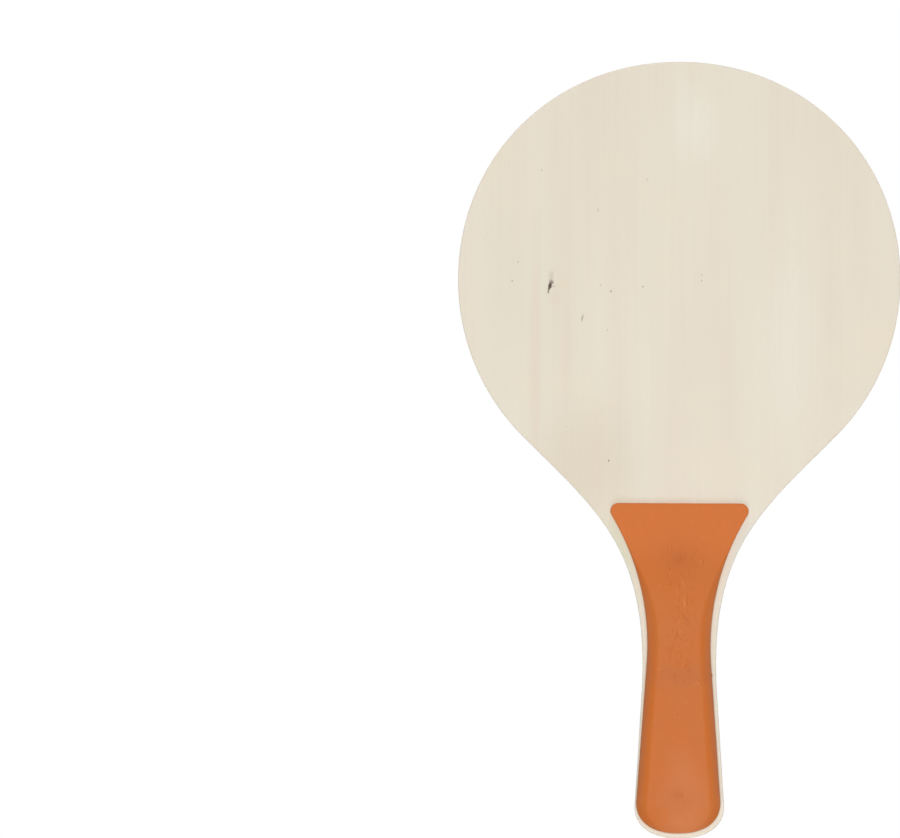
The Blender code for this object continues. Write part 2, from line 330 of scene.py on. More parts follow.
def patch(place, x, z, wide, tall, lean=0.0):
    """A soft spot of 1 at (x, z), that fades to 0 at its half width and half height, in millimetres.

    Its lean is in degrees, anticlockwise as seen from the front.
    """
    turned = vector(place, "SUBTRACT", (x, 0, z))
    if lean:
        turning = {"Vector": turned, "Rotation": (0, math.radians(lean), 0)}
        turned = place.node("ShaderNodeMapping", {"vector_type": "POINT"}, turning)
    scaled = vector(turned, "MULTIPLY", (1 / wide, 0, 1 / tall))
    distance = place.node("ShaderNodeVectorMath", {"operation": "LENGTH"}, {0: scaled}, "Value")
    return 1 - rise(distance, 0.0, 1.0)


def stirred(place, frequency, reach, seed):
    """A place pushed about by noise, by up to this many millimetres, for a patch with a ragged edge."""
    moved = vector(vector(place, "MULTIPLY", (frequency,) * 3), "ADD", (seed, seed, seed))
    values = {"Vector": moved, "Scale": 1.0, "Detail": 2.0}
    cloud = place.node("ShaderNodeTexNoise", None, values, "Color")
    push = vector(vector(cloud, "SUBTRACT", (0.5, 0.5, 0.5)), "MULTIPLY", (2 * reach,) * 3)
    return vector(place, "ADD", push)


def deepest(masks):
    """The strongest of several masks at each point."""
    strongest = masks[0]
    for mask in masks[1:]:
        strongest = strongest.math("MAXIMUM", strongest, mask)
    return strongest


def tint(red, green, blue):
    """A display colour, given as 0 to 255, as a shader's linear colour."""
    return (*(((value / 255 + 0.055) / 1.055) ** 2.4 for value in (red, green, blue)), 1.0)


def blend(mask, under, over):
    """One colour over another, where the mask is 1."""
    return mask.node("ShaderNodeMix", {"data_type": "RGBA"}, {0: mask, 6: under, 7: over}, 2)


def shade(colour, factor):
    """A colour made darker or lighter by a factor."""
    return factor.node("ShaderNodeVectorMath", {"operation": "SCALE"}, {0: colour, "Scale": factor})


def start_material(name):
    """A new material's shader, and the place on the piece in millimetres."""
    made = bpy.data.materials.new(name)
    made.use_nodes = True
    tree = made.node_tree
    place = Socket(tree, tree.nodes.new("ShaderNodeTexCoord").outputs["Object"])
    return made, tree.nodes["Principled BSDF"], vector(place, "MULTIPLY", (1 / MM,) * 3)


def link(surface, **sockets):
    """Feeds sockets of a shader, named with underscores for spaces."""
    for name, value in sockets.items():
        value.tree.links.new(value.output, surface.inputs[name.replace("_", " ")])


def relief(height, depth):
    """A surface normal from a height, where 1 stands this many millimetres above 0."""
    values = {"Strength": 1.0, "Distance": depth * MM, "Height": height}
    return height.node("ShaderNodeBump", None, values, "Normal")


CORE_LONG_GRAIN = (226, 212, 186)
CORE_END_GRAIN = (204, 184, 150)
PORE_FINENESS = 2.2
SAWN_RELIEF = 0.03

# Between these heights, in millimetres from the grip's waist, the edge turns from the handle's,
# which faces sideways, to the head's, which faces outwards from its centre
EDGE_TURNS = (40.0, 110.0)


def inner_ply_material(name, long_grain, end_grain, across):
    """Sawn edge of a ply: smooth and pale along its grain, darker and open where the grain ends."""
    made, surface, place = start_material(name)
    along = (0.05, 3.0, 3.0) if across else (3.0, 3.0, 0.05)
    fibres = noise(place, along, 11.0 if across else 5.0)
    pores = rise(noise(place, tuple(PORE_FINENESS * f for f in along), 23.0, 1.0), 0.60, 0.74)
    centre = vector(place, "SUBTRACT", (0, 0, (BUTT_END + HEAD_HEIGHT) / MM))
    outward = centre.node("ShaderNodeVectorMath", {"operation": "NORMALIZE"}, {0: centre})
    sideways = abs(coordinate(outward, "X"))
    on_head = rise(coordinate(place, "Z"), *EDGE_TURNS)
    facing_side = 1 - on_head * (1 - sideways)
    ends = facing_side if across else 1 - facing_side
    wood = blend(ends, tint(*long_grain), tint(*end_grain))
    link(surface, Base_Color=shade(wood, 0.90 + 0.20 * fibres - 0.22 * pores))
    link(surface, Roughness=0.66 + 0.14 * fibres, Normal=relief(fibres - pores, SAWN_RELIEF))
    return made


SMOOTH_ANGLE = math.radians(32)


def dress(piece, material, node):
    """Finishes a piece that stands for a CAD node: smooth shading, material and body, and hides the
    node.
    """
    pick(piece)
    bpy.ops.object.shade_smooth_by_angle(angle=SMOOTH_ANGLE)
    piece.data.materials.clear()
    piece.data.materials.append(material)
    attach(piece, "root")
    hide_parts(node)


blank = cut_out("blade_blank", blade_outline())
core_low, core_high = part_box("core_veneer")
core = copy_of(blank, "core_sheet")
thicken(core, core_low.y, core_high.y)
bore_for_brads(core)
core_wood = inner_ply_material("poplar_core_edge", CORE_LONG_GRAIN, CORE_END_GRAIN, across=False)
dress(core, core_wood, "core_veneer")

# The glue lines are urea resin rolled on between the plies. They set hard and brown,
# and show on the sawn edge as four hairlines that run all the way round the bat.
THIN_RESIN = (176, 140, 98)
RICH_RESIN = (122, 84, 50)


def glue_line_material():
    """Set resin: brown and a little glossy, with starved and rich stretches."""
    made, surface, place = start_material("ply_resin")
    richness = noise(place, (0.18, 0.18, 0.18), 3.0)
    link(surface, Base_Color=blend(richness, tint(*THIN_RESIN), tint(*RICH_RESIN)))
    link(surface, Roughness=0.34 + 0.22 * richness)
    return made


resin = glue_line_material()


def blade_sheet(name, node, material):
    """A sheet of the blade in a CAD node's place, with its bores."""
    low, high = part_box(node)
    sheet = copy_of(blank, name)
    thicken(sheet, low.y, high.y)
    bore_for_brads(sheet)
    dress(sheet, material, node)


for side in ("front", "back"):
    for level in ("core", "face"):
        blade_sheet(f"resin_line_{level}_{side}", f"glue_line_{level}_{side}", resin)

# The crossbands are two sheets of the same poplar with their grain across the bat. They
# stop the blade from splitting, and show a darker end grain along the handle's edges.
BAND_LONG_GRAIN = (222, 205, 176)
BAND_END_GRAIN = (188, 164, 126)

cross_wood = inner_ply_material("poplar_crossband_edge", BAND_LONG_GRAIN, BAND_END_GRAIN, across=True)
for side in ("front", "back"):
    blade_sheet(f"crossband_sheet_{side}", f"crossband_{side}", cross_wood)

# The face veneers are the blade's outer sheets, of the palest poplar, sanded fine and left
# bare. The front one has two pin knots and a scatter of specks. Their rims are eased by hand.
OUTWARD = {"front": -1, "back": 1}
RIM_EASE = 0.5 * MM
RIM_SEGMENTS = 6
FACE_ON = 0.9
EDGE_ON = 0.1

# Specks, as (x, z, half width, half height, darkness), in millimetres from the origin. The
# front's were read off the photograph, to half a millimetre. The back's are made up.
FRONT_SPECKS = [
    (-13.5, 206.5, 0.6, 0.8, 0.16),
    (-58.5, 210.5, 0.5, 0.7, 0.20),
    (-68.5, 171.5, 0.5, 0.6, 0.26),
    (-71.0, 163.5, 0.5, 0.7, 0.34),
    (-33.5, 161.5, 0.6, 0.6, 0.22),
    (-29.0, 159.0, 0.5, 0.8, 0.42),
    (-15.5, 161.0, 0.5, 0.7, 0.36),
    (9.5, 163.5, 0.5, 0.6, 0.24),
    (9.5, 166.0, 0.4, 1.2, 0.16),
    (-34.5, 193.5, 0.4, 1.5, 0.20),
    (-30.5, 142.5, 0.4, 0.8, 0.20),
    (-48.0, 101.5, 0.4, 0.7, 0.14),
    (-30.0, 87.0, 0.5, 0.8, 0.48),
]
BACK_SPECKS = [
    (22.5, 190.0, 0.5, 0.8, 0.28),
    (47.0, 132.5, 0.5, 0.7, 0.24),
    (-19.5, 118.0, 0.5, 0.9, 0.30),
    (-52.0, 176.0, 0.4, 0.6, 0.20),
]
SPECK_BROWN = (128, 112, 88)

# Broad streaks and areas of tone, as (x, z, half width, half height, strength, colour)
PINKISH = (227, 212, 194)
GREYISH = (224, 217, 200)
CREAMY = (236, 231, 217)
PEACHY = (215, 203, 180)
MOSSY = (216, 220, 196)
SILVERY = (224, 224, 213)
FRONT_STREAKS = [
    (-40.0, 84.0, 40.0, 44.0, 0.52, PEACHY),
    (-56.0, 150.0, 26.0, 62.0, 0.42, GREYISH),
    (-61.0, 140.0, 3.0, 95.0, 0.50, PINKISH),
    (-61.5, 125.0, 4.5, 50.0, 0.50, PINKISH),
    (-48.0, 132.0, 4.0, 34.0, 0.45, PINKISH),
    (-35.5, 86.0, 6.5, 34.0, 0.60, PINKISH),
    (-75.0, 160.0, 12.0, 70.0, 0.45, GREYISH),
    (7.5, 230.0, 13.0, 24.0, 0.55, CREAMY),
    (1.0, 236.0, 4.5, 40.0, 0.40, CREAMY),
    (48.0, 140.0, 22.0, 80.0, 0.30, CREAMY),
    (-26.0, 44.0, 13.0, 36.0, 0.80, MOSSY),
    (27.0, 48.0, 13.0, 34.0, 0.80, SILVERY),
]
BACK_STREAKS = [
    (38.0, 150.0, 6.0, 80.0, 0.60, PINKISH),
    (-22.0, 110.0, 8.0, 60.0, 0.50, PINKISH),
    (-58.0, 170.0, 14.0, 60.0, 0.45, GREYISH),
    (12.0, 205.0, 16.0, 50.0, 0.50, CREAMY),
    (64.0, 190.0, 9.0, 50.0, 0.40, PINKISH),
]

# The parts of the two pin knots, as (x, z, half width, half height, lean), and their colours
SLIVER_HEAD = (-54.4, 163.0, 1.7, 2.1, -10.0)
SLIVER_BODY = (-55.0, 161.2, 1.25, 2.5, -14.0)
SLIVER_TAIL = (-55.6, 159.2, 0.75, 2.2, -12.0)
SLIVER_SMOKE = (-54.4, 165.6, 1.7, 3.6)
SLIVER_SPUR = (-53.5, 161.1, 1.3, 0.5)
SLIVER_ROSE = (-53.0, 156.5, 4.0, 7.0)
SLIVER_HALO = (-49.0, 162.0, 4.5, 3.4)
FAINT_KNOT = (-41.2, 147.6, 0.75, 2.9, -9.0)
FAINT_HALO = (-39.4, 147.9, 2.4, 2.0)
ROSE_WOOD = (226, 208, 192)
HALO_WOOD = (228, 214, 184)
SMOKE_BROWN = (150, 136, 114)
HEAD_BROWN = (112, 96, 80)
BODY_BROWN = (84, 68, 55)
TAIL_BROWN = (104, 88, 72)
FAINT_BROWN = (140, 122, 94)


def pin_knots(place, wood):
    """The front sheet's pin knots: a sliver with a mottled head and a thin tail, and a faint one."""
    wood = blend(patch(place, *SLIVER_ROSE) * 0.35, wood, tint(*ROSE_WOOD))
    halos = deepest([patch(place, *SLIVER_HALO) * 0.45, patch(place, *FAINT_HALO) * 0.40])
    wood = blend(halos, wood, tint(*HALO_WOOD))
    smoke = deepest([patch(place, *SLIVER_SMOKE) * 0.26, patch(place, *SLIVER_SPUR) * 0.50])
    wood = blend(smoke, wood, tint(*SMOKE_BROWN))
    ragged = stirred(place, 1.4, 0.35, 3.0)
    mottling = rise(noise(place, (1.6, 1.6, 1.2), 12.0, 2.0), 0.36, 0.60)
    head = rise(patch(ragged, *SLIVER_HEAD), 0.10, 0.80)
    wood = blend(head * (0.35 + 0.50 * mottling), wood, tint(*HEAD_BROWN))
    tail = rise(patch(ragged, *SLIVER_TAIL), 0.10, 0.80)
    wood = blend(tail * 0.72, wood, tint(*TAIL_BROWN))
    body = patch(ragged, *SLIVER_BODY)
    wood = blend(rise(body, 0.12, 0.66) * 0.97, wood, tint(*BODY_BROWN))
    faint = patch(ragged, *FAINT_KNOT)
    wood = blend(rise(faint, 0.1, 1.0) * 0.62, wood, tint(*FAINT_BROWN))
    return wood, deepest([rise(body, 0.2, 0.8), faint * 0.4])


PALE_WOOD = (231, 223, 206)
BANDED_WOOD = (229, 218, 202)
MOTTLED_WOOD = (231, 221, 199)
HANDLE_PAINTED_LIGHT = (231, 227, 211)
HANDLE_RIM_SHADE = (204, 195, 180)
SAWN_WOOD = (212, 200, 178)
WOOD_SHEEN = 0.20
SANDED_RELIEF = 0.035

# The handle's paler, cooler wood, painted light against the scales' shade and orange bounce, ends
# between these heights, and the painted shade on its eased rim and the tone of the sawn edge end
# between these distances from the middle of the blade's thickness
HANDLE_ENDS = (20.0, 60.0)
RIM_ENDS = (2.30, 2.49)
SAWN_ENDS = (1.95, 2.25)


def veneer_material(name, seed, streaks, specks, knotted):
    """Sanded poplar: broad pinkish and creamy bands, fine grain up the bat, and a few dark specks."""
    made, surface, place = start_material(name)
    bands = noise(place, (0.055, 0.3, 0.004), seed, 2.0)
    grain = noise(place, (0.9, 0.9, 0.012), seed + 4.0, 4.0)
    fibres = noise(place, (5.0, 5.0, 0.11), seed + 9.0, 3.0)
    mottle = noise(place, (0.035, 0.1, 0.035), seed + 14.0, 3.0)
    ticks = rise(noise(place, (2.6, 2.6, 0.30), seed + 20.0, 1.0), 0.70, 0.80)

    wood = blend(rise(bands, 0.32, 0.68), tint(*PALE_WOOD), tint(*BANDED_WOOD))
    wood = blend(rise(mottle, 0.45, 0.75) * 0.6, wood, tint(*MOTTLED_WOOD))
    handle = 1 - rise(coordinate(place, "Z"), *HANDLE_ENDS)
    from_middle = abs(coordinate(place, "Y"))
    # Paler, cooler wood on the handle: painted light against the grip scales' shade and orange bounce
    wood = blend(0.9 * handle, wood, tint(*HANDLE_PAINTED_LIGHT))
    for x, z, wide, tall, strength, colour in streaks:
        wood = blend(patch(place, x, z, wide, tall) * strength, wood, tint(*colour))
    # Painted shade on the handle's eased rim
    wood = blend(0.9 * handle * (1 - rise(from_middle, *RIM_ENDS)), wood, tint(*HANDLE_RIM_SHADE))
    wood = blend(0.7 * (1 - rise(from_middle, *SAWN_ENDS)), wood, tint(*SAWN_WOOD))

    light = 0.986 + 0.014 * rise(grain, 0.3, 0.7) + 0.016 * (fibres - 0.5) - 0.07 * ticks
    wood = shade(wood, light)
    pits = ticks * 0.4
    if knotted:
        wood, knots = pin_knots(place, wood)
        pits = pits + knots * 3.0
    for x, z, wide, tall, darkness in specks:
        speck = patch(place, x, z, wide, tall)
        wood = blend(speck * (2 * darkness), wood, tint(*SPECK_BROWN))
    link(surface, Base_Color=wood, Roughness=0.60 + 0.10 * fibres)
    link(surface, Normal=relief(fibres * 0.5 + grain * 0.4 - pits, SANDED_RELIEF))
    surface.inputs["Specular IOR Level"].default_value = WOOD_SHEEN
    return made


def edit_rim(piece, outward, highest=math.inf):
    """Opens a piece in edit mode with the rim of its outer face selected, up to a height."""
    edit(piece, "DESELECT")
    shape = bmesh.from_edit_mesh(piece.data)
    shape.normal_update()
    for edge in shape.edges:
        facing = [face.normal.y * outward for face in edge.link_faces]
        below = max(vert.co.z for vert in edge.verts) < highest
        if below and len(facing) == 2 and max(facing) > FACE_ON and min(facing) < EDGE_ON:
            edge.select_set(True)
    bmesh.update_edit_mesh(piece.data)


def ease_rim(piece, outward):
    """Rounds the rim of a sheet's outer face, and insets that face so that it shades flat."""
    edit_rim(piece, outward)
    easing = {"offset": RIM_EASE, "segments": RIM_SEGMENTS}
    bpy.ops.mesh.bevel(affect="EDGES", clamp_overlap=False, **easing)
    bpy.ops.mesh.select_all(action="DESELECT")
    shape = bmesh.from_edit_mesh(piece.data)
    outer_faces = [face for face in shape.faces if face.normal.y * outward > FACE_ON]
    broadest = max(outer_faces, key=lambda face: face.calc_area())
    broadest.select_set(True)
    bmesh.update_edit_mesh(piece.data)
    bpy.ops.mesh.inset(thickness=RIM_EASE, depth=0)
    end_edit()


sheets = {"front": (1.0, FRONT_STREAKS, FRONT_SPECKS), "back": (31.0, BACK_STREAKS, BACK_SPECKS)}
for side, (seed, streaks, specks) in sheets.items():
    low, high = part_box(f"face_veneer_{side}")
    veneer = copy_of(blank, f"face_sheet_{side}")
    thicken(veneer, low.y, high.y)
    ease_rim(veneer, OUTWARD[side])
    bore_for_brads(veneer)
    pale_wood = veneer_material(f"poplar_veneer_{side}", seed, streaks, specks, side == "front")
    dress(veneer, pale_wood, f"face_veneer_{side}")

# A film of wood glue holds each grip scale down. It is spread thin over the scale's whole
# back, and only its edge shows, as an amber hairline between the paint and the bare wood.
SCALE_TOP = 142.4 * MM
SCALE_CORNER = 3.4 * MM
SCALE_WAIST_HALF = 13.45 * MM
SCALE_WAIST_HEIGHT = 81.8 * MM
SCALE_SWEEP = 107 * MM
SCALE_FLARE = math.radians(4.1)
SCALE_BUTT_MARGIN = 2.0 * MM
SCALE_BUTT_DEPTH = 13.4 * MM
FRONT_SCALE_SKEW = math.radians(0.24)
UPPER_BRAD_HEIGHT = 119.6 * MM
CORNER_STEP = math.radians(6)
CLEAR_GLUE = (236, 218, 178)
CLOUDY_GLUE = (206, 176, 122)


def scale_outline():
    """Right-hand half of a grip scale's outline, from its straight top edge down to its heel."""
    waist = (SCALE_WAIST_HALF, SCALE_WAIST_HEIGHT)
    centre = (SCALE_WAIST_HALF + SCALE_SWEEP, SCALE_WAIST_HEIGHT)
    corner_height = SCALE_TOP - SCALE_CORNER
    climb = corner_height - SCALE_WAIST_HEIGHT
    reach = SCALE_SWEEP + SCALE_CORNER
    corner_x = centre[0] - math.sqrt(reach ** 2 - climb ** 2)
    top_angle = math.asin(climb / reach)
    points = [(0.0, SCALE_TOP)]
    points += arc((corner_x, corner_height), SCALE_CORNER, math.pi / 2, -top_angle, CORNER_STEP)
    points += arc(centre, SCALE_SWEEP, math.pi - top_angle, math.pi, SWEEP_STEP)[1:]
    end_height = SCALE_BUTT_MARGIN + SCALE_BUTT_DEPTH
    points += handle_side(waist, SCALE_SWEEP, SCALE_FLARE, end_height)
    heel = rounded_end(points[-1][0], SCALE_BUTT_DEPTH, BUTT_FULLNESS, COARSE_STEP)
    return points + [(x, end_height - drop) for x, drop in reversed(heel)][1:]


def skew(piece):
    """Turns the front scale's blank clockwise about its upper brad, as it was glued down askew."""
    edit(piece)
    pivot = (0, 0, BUTT_END + UPPER_BRAD_HEIGHT)
    bpy.ops.transform.rotate(value=-FRONT_SCALE_SKEW, orient_axis="Y", center_override=pivot)
    end_edit()


def wood_glue_material():
    """Dried glue: amber and glossy, cloudier where it is thick."""
    made, surface, place = start_material("wood_glue")
    clouds = noise(place, (0.4, 0.4, 0.4), 8.0)
    link(surface, Base_Color=blend(clouds, tint(*CLEAR_GLUE), tint(*CLOUDY_GLUE)))
    link(surface, Roughness=0.28 + 0.2 * clouds)
    return made


scale_blank = cut_out("scale_blank", scale_outline())
glue = wood_glue_material()
scale_blanks = {}
for side in ("front", "back"):
    scale_blanks[side] = copy_of(scale_blank, f"scale_blank_{side}")
    if side == "front":
        skew(scale_blanks[side])
    low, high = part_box(f"grip_glue_{side}")
    film = copy_of(scale_blanks[side], f"glue_film_{side}")
    thicken(film, low.y, high.y)
    bore_for_brads(film)
    dress(film, glue, f"grip_glue_{side}")

# Each grip scale is a block of poplar, routed round its long edges and heel and planed to a
# ramp at the top. It is nailed and glued down, and painted orange. The paint softens its edges.
SCALE_THICKNESS = 9.0 * MM
SCALE_FEATHER = 1.6 * MM
RAMP_RUN = 28 * MM
RAMP_BLEND = 24 * MM
SCALE_ROUND = 4.8 * MM
ROUND_SEGMENTS = 14
ROUND_FULLNESS = 0.38
HEEL_LENGTH = 14 * MM
HEEL_WALL = 3.0 * MM
HEEL_FULLNESS = 2
HEEL_OVERRUN = 0.3 * MM
LAND_SANDING = 0.05 * MM
OVERCUT = 1 * MM
BLEND_POINTS = 24
PAINT_VOXEL = 0.42 * MM
PAINT_SOFTENING = {"factor": 0.5, "iterations": 6}
PAINT_WAVE = 0.05 * MM
PAINT_WAVE_LENGTH = 18 * MM
EXACT = 0.00001 * MM


def ramp_slope():
    """Rise of the ramp for each metre down from the scale's top edge."""
    return (SCALE_THICKNESS - SCALE_FEATHER) / (RAMP_RUN + RAMP_BLEND / 2)


def scale_height(drop):
    """Thickness of a scale on its centre line, at this distance below its top edge."""
    past_run = min(max(drop - RAMP_RUN, 0), RAMP_BLEND)
    blended = past_run - past_run ** 2 / (2 * RAMP_BLEND)
    return SCALE_FEATHER + ramp_slope() * (min(drop, RAMP_RUN) + blended)


def side_view():
    """Outline of a grip scale seen from the side, as (height, distance from its glued face)."""
    drops = [-OVERCUT] + [RAMP_RUN + RAMP_BLEND * i / BLEND_POINTS for i in range(BLEND_POINTS)]
    points = [(SCALE_TOP + OVERCUT, -OVERCUT)]
    points += [(SCALE_TOP - drop, scale_height(drop)) for drop in drops]
    points.append((SCALE_TOP - RAMP_RUN - RAMP_BLEND, SCALE_THICKNESS))
    heel_end = SCALE_BUTT_MARGIN - HEEL_OVERRUN
    dome = rounded_end(HEEL_LENGTH, SCALE_THICKNESS - HEEL_WALL, HEEL_FULLNESS, COARSE_STEP)
    points += [(heel_end + HEEL_LENGTH - along, HEEL_WALL + up) for along, up in dome]
    return points + [(heel_end, -OVERCUT)]


def sawing_solid(seat, outward):
    """A bar with a scale's side view, across the whole bat. What lies inside it is kept."""
    profile = side_view()
    first_height, first_out = profile[0]
    start = (-HEAD_RADIUS, seat + outward * first_out, BUTT_END + first_height)
    steps = []
    for (height, out), (next_height, next_out) in zip(profile, profile[1:]):
        steps.append((0, outward * (next_out - out), next_height - height))
    bar = draw_line("sawing", start, steps)
    bpy.ops.mesh.select_all(action="SELECT")
    bpy.ops.mesh.edge_face_add()
    bpy.ops.mesh.extrude_region_move(TRANSFORM_OT_translate={"value": (2 * HEAD_RADIUS, 0, 0)})
    bpy.ops.mesh.select_all(action="SELECT")
    bpy.ops.mesh.normals_make_consistent(inside=False)
    end_edit()
    return bar


def route_rim(piece, outward):
    """Rounds a block's long edges and heel, up to where the ramp is thinner than the rounding."""
    rounding_starts = (SCALE_THICKNESS - SCALE_ROUND - SCALE_FEATHER) / ramp_slope()
    highest = BUTT_END + SCALE_TOP - max(SCALE_CORNER, rounding_starts - OVERCUT)
    edit_rim(piece, outward, highest)
    rounding = {"offset": SCALE_ROUND, "segments": ROUND_SEGMENTS, "profile": ROUND_FULLNESS}
    bpy.ops.mesh.bevel(affect="EDGES", clamp_overlap=False, **rounding)
    end_edit()


PAINT_SHEEN = 0.10
PAINT_RELIEF = 0.05
ORANGE = (202, 110, 49)
CLOUDED_ORANGE = (200, 112, 54)
RAMP_LIT_ORANGE = (209, 116, 59)
HEEL_HIGHLIGHT_ORANGE = (209, 125, 76)
DULL_ORANGE = (194, 108, 55)
MARK_BROWN = (180, 95, 52)
PALE_SPOT_ORANGE = (218, 127, 72)
CREASE_BROWN = (182, 90, 36)
THIN_ORANGE = (190, 124, 88)

# Heights between which the ramp's lighter orange comes in, partly painted light where the ramp faces
# upwards, and between which the painted shade on the rounded flanks starts, above the heel, and stops,
# above the waist
RAMP_STARTS = (36.0, 56.0)
FLANK_SHADE_RISES = (-66.0, -50.0)
FLANK_SHADE_FADES = (0.0, 24.0)

# Distances from the middle of the blade between which the thin paint at the foot of a scale's
# edge ends, and the painted shade on its rounded flanks
THIN_ENDS = (2.7, 3.7)
FLANK_SHADE_REACH = (7.6, 11.6)

# The painted highlight on the heel's dome and the two parts of the wrinkled middle, as (x, z, half
# width, half height), and how far the painted highlight on each crest lies from its wrinkle line
HEEL_HIGHLIGHT = (2.0, -72.0, 16.0, 46.0)
WRINKLED_HANDLE = (1.0, 16.0, 10.0, 38.0)
WRINKLED_RAMP = (1.0, 44.0, 17.0, 20.0)
CREST_HIGHLIGHT_SHIFT = (0.6, 0.0, 0.2)

# Areas where the paint is duller and browner, as (x, z, half width, half height, strength)
DULL_AREAS = [
    (0.0, 45.0, 16.0, 15.0, 0.70),
    (0.0, -4.5, 20.0, 9.0, 0.90),
    (0.0, -57.0, 15.0, 10.0, 0.60),
]

# Darker spots, pressed in a little as creases, and paler spots in the paint, as (x, z, half width,
# half height, lean, strength). The front's were read off, and most of them show in both pictures
# of the bat, as noise wouldn't. The back's are made up.
FRONT_CREASES = [
    (-1.9, 45.1, 0.8, 0.8, 0, 0.40),
    (0.9, 45.7, 0.6, 1.6, 0, 0.30),
    (2.4, 45.7, 0.5, 1.5, 0, 0.30),
    (-4.6, 44.1, 0.4, 1.6, 0, 0.40),
    (-4.0, 41.0, 0.8, 0.9, 0, 0.50),
    (-4.8, 38.6, 0.4, 2.2, 0, 0.35),
    (10.0, 44.4, 0.5, 1.7, 0, 0.50),
    (7.9, 42.5, 0.6, 0.7, 0, 0.55),
    (7.0, 41.7, 0.5, 0.6, 0, 0.45),
    (-4.0, 34.5, 1.1, 1.1, 0, 0.35),
    (0.0, 34.0, 0.8, 1.4, 0, 0.45),
    (5.6, 32.5, 0.7, 1.0, 0, 0.40),
    (3.4, 27.0, 0.5, 1.9, 0, 0.35),
    (-0.3, 24.5, 0.6, 1.9, 30, 0.40),
    (-2.5, 20.6, 0.4, 0.9, 0, 0.50),
    (-1.2, 19.2, 0.7, 0.9, 0, 0.60),
    (0.1, 20.6, 0.4, 0.7, 0, 0.40),
    (3.3, 19.5, 0.5, 5.4, 41, 0.50),
    (-1.1, 13.2, 0.7, 2.6, 0, 0.65),
    (-2.6, 8.4, 0.4, 4.2, -20, 0.40),
    (2.8, 10.7, 1.4, 0.7, 0, 0.40),
    (-4.0, 7.0, 2.4, 1.8, 0, 0.20),
    (-4.1, 3.3, 0.5, 1.7, 0, 0.40),
    (-1.0, 1.6, 0.5, 1.2, 0, 0.45),
    (4.5, 1.9, 0.5, 1.3, 0, 0.45),
    (2.6, -0.6, 0.7, 1.2, 0, 0.60),
    (4.3, -2.5, 1.1, 0.9, 0, 0.45),
    (-6.2, -2.0, 0.8, 0.6, 0, 0.45),
    (-1.8, -4.7, 0.8, 1.1, 0, 0.50),
    (8.6, -6.3, 0.6, 1.1, 0, 0.55),
    (-0.6, -20.8, 0.8, 1.1, 0, 0.40),
    (-10.7, -52.5, 0.6, 0.8, 0, 0.45),
    (0.7, -55.4, 0.7, 0.6, 0, 0.35),
]
FRONT_PALE_SPOTS = [
    (-2.9, 46.0, 0.9, 0.6, 0, 0.35),
    (9.1, 43.7, 0.6, 1.6, 0, 0.50),
    (-3.8, 39.3, 0.7, 1.2, 0, 0.35),
    (1.5, 34.8, 0.8, 3.2, 16, 0.55),
    (-8.5, 33.9, 0.6, 1.2, 0, 0.40),
    (-0.8, 30.7, 0.7, 1.6, 0, 0.30),
    (2.1, 26.8, 0.8, 3.3, 6, 0.55),
    (-0.4, 18.2, 0.6, 1.0, 0, 0.45),
    (0.4, 14.8, 1.0, 1.6, 0, 0.30),
    (3.1, 9.0, 1.0, 0.8, 0, 0.30),
    (-0.5, 6.6, 0.7, 0.8, 0, 0.30),
    (1.8, 0.3, 0.5, 1.1, 0, 0.50),
    (-8.7, -1.5, 0.9, 0.9, 0, 0.45),
    (7.9, -7.5, 0.6, 1.1, 0, 0.60),
    (6.4, -8.2, 0.4, 3.4, -39, 0.35),
    (2.6, -15.9, 1.7, 0.8, 0, 0.30),
    (3.1, -49.8, 0.5, 0.6, 0, 0.40),
    (2.6, -55.1, 0.6, 1.8, 0, 0.45),
    (0.7, -59.2, 0.5, 1.3, 0, 0.35),
    (1.2, -66.8, 0.5, 0.9, 0, 0.70),
]
BACK_CREASES = [
    (3.6, 36.0, 0.6, 1.8, -12, 0.45),
    (-2.2, 24.0, 0.7, 1.3, 0, 0.45),
    (1.4, 9.5, 0.5, 2.4, 15, 0.50),
    (-5.1, -3.0, 0.8, 0.9, 0, 0.40),
    (6.0, -38.0, 0.7, 0.8, 0, 0.40),
]
BACK_PALE_SPOTS = [
    (-1.4, 30.5, 0.7, 2.6, -8, 0.45),
    (4.2, 16.0, 0.8, 1.2, 0, 0.40),
    (-3.5, -12.0, 0.6, 1.4, 0, 0.40),
]


def wrinkle_lines(place, seed):
    """Short curled lines where one noise crosses its mean, kept where another noise is high."""
    curls = noise(place, (0.60, 0.60, 0.22), seed, 2.5)
    off_line = abs(curls - 0.5)
    kept = rise(noise(place, (0.42, 0.42, 0.30), seed + 5.0, 1.0), 0.53, 0.62)
    return (1 - rise(off_line, 0.0, 0.10)) * kept


def strongest_of(place, spots):
    """The strongest of these spots at each point, where each ends with its strength."""
    return deepest([patch(place, *spot) * strength for *spot, strength in spots])


